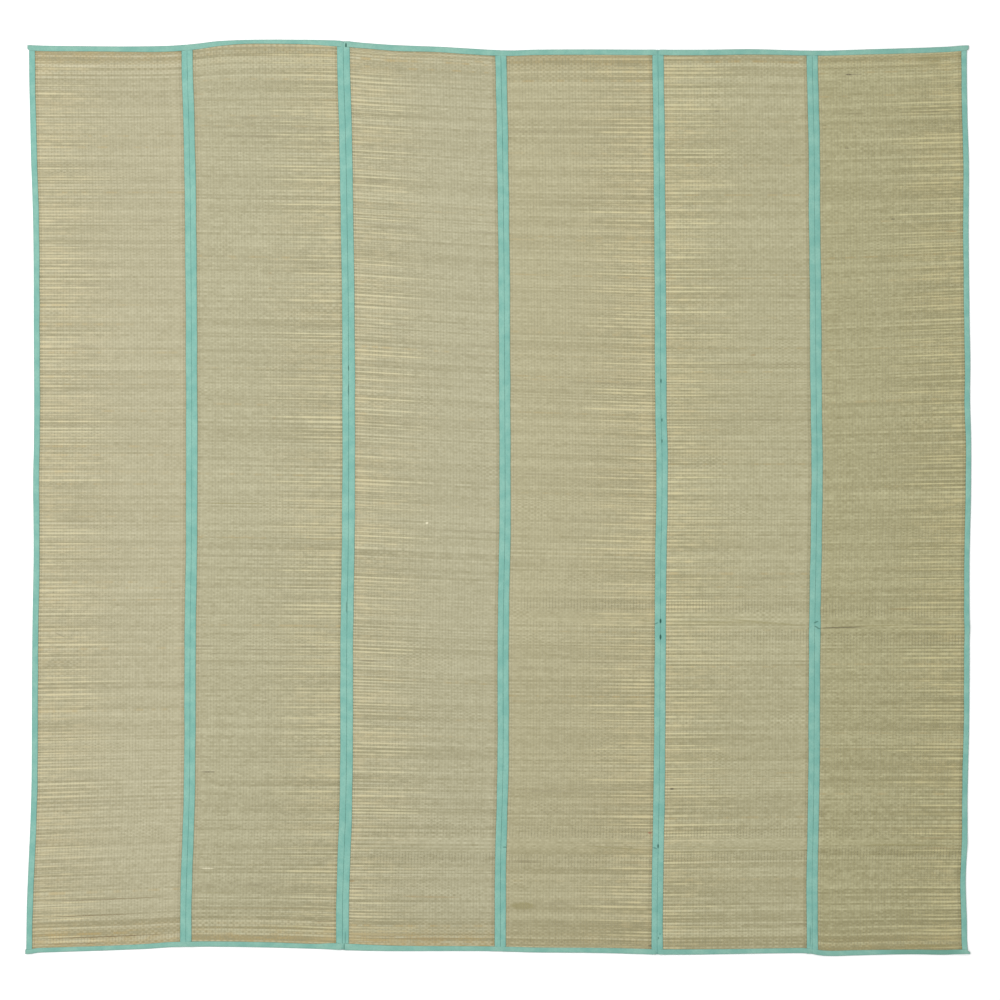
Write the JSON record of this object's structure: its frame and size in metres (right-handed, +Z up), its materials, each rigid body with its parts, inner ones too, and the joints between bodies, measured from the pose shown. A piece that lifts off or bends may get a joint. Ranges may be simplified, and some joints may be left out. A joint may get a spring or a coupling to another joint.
{
  "type": "folding straw beach mat",
  "caption": "Flat folding beach mat of woven straw panels set side by side, each edged with folded cloth tape, for lying on sand or a floor.",
  "frame": {"origin": "middle of the mat's outline, on the floor that it lies on", "axes": "+X across the panels to the right of the picture, +Y along the panels to the top of the picture, +Z up from the floor"},
  "size_m": [1.8064, 1.7502, 0.0056],
  "materials": {
    "straw": "matt woven straw, slightly glossy on single straws",
    "tape": "matt plain-woven cotton tape"
  },
  "bodies": {
    "root": {"panel_1": "straw", "panel_2": "straw", "panel_3": "straw", "panel_4": "straw", "panel_5": "straw", "panel_6": "straw", "binding_1_left": "tape", "binding_1_right": "tape", "binding_2_left": "tape", "binding_2_right": "tape", "binding_3_left": "tape", "binding_3_right": "tape", "binding_4_left": "tape", "binding_4_right": "tape", "binding_5_left": "tape", "binding_5_right": "tape", "binding_6_left": "tape", "binding_6_right": "tape", "binding_head": "tape", "binding_foot": "tape"}
  },
  "joints": []
}
